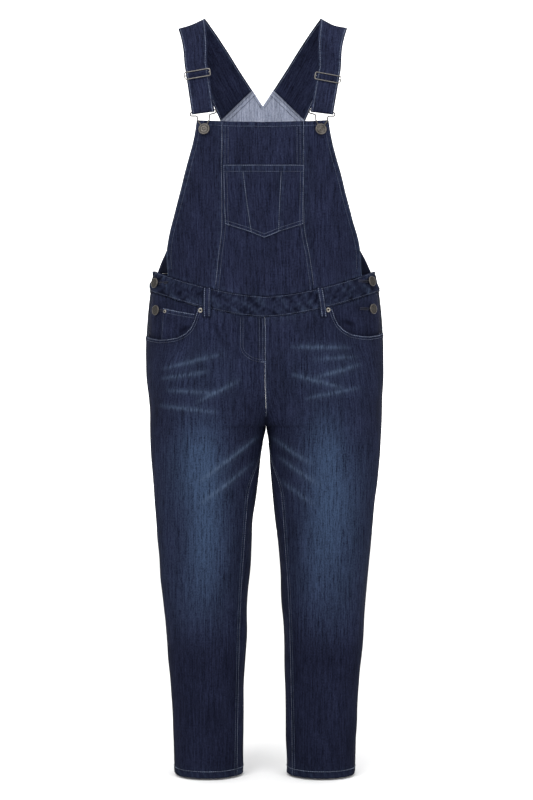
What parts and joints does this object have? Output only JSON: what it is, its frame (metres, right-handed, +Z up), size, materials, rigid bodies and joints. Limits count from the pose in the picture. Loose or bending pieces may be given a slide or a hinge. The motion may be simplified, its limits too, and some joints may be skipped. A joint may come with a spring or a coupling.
{
  "type": "denim overalls",
  "caption": "Dark indigo denim overalls with a panelled bib, wire hooks and sliders, side buttons and slim legs, in worn form.",
  "frame": {"origin": "where the wearer's shoulders carry the straps: the centre line, level with the top of the straps", "axes": "+Z up along the body, -Y the front of the garment, +X the wearer's left"},
  "size_m": [0.4406, 0.2734, 1.3917],
  "materials": {
    "denim": "matte",
    "denim_wrong_side": "matte",
    "hardware": "satin",
    "rivets": "satin"
  },
  "bodies": {
    "root": {"back_bib": "denim_wrong_side", "back_leg_l": "denim", "back_leg_r": "denim", "belt_loop_l": "denim", "belt_loop_r": "denim", "bib_centre": "denim", "bib_pocket_centre": "denim", "bib_pocket_side_l": "denim", "bib_pocket_side_r": "denim", "bib_side_l": "denim", "bib_side_r": "denim", "coin_pocket_r": "denim", "front_leg_l": "denim", "front_leg_r": "denim", "pocket_facing_l": "denim", "pocket_facing_r": "denim", "strap_l": "denim", "strap_r": "denim", "waistband_back": "denim", "waistband_front": "denim", "bib_button_l": "hardware", "bib_button_r": "hardware", "hook_l": "hardware", "hook_r": "hardware", "side_button_lower_l": "hardware", "side_button_lower_r": "hardware", "side_button_upper_l": "hardware", "side_button_upper_r": "hardware", "slider_l": "hardware", "slider_r": "hardware", "rivet_coin_r": "rivets", "rivet_pocket_l": "rivets", "rivet_pocket_r": "rivets"}
  },
  "joints": []
}
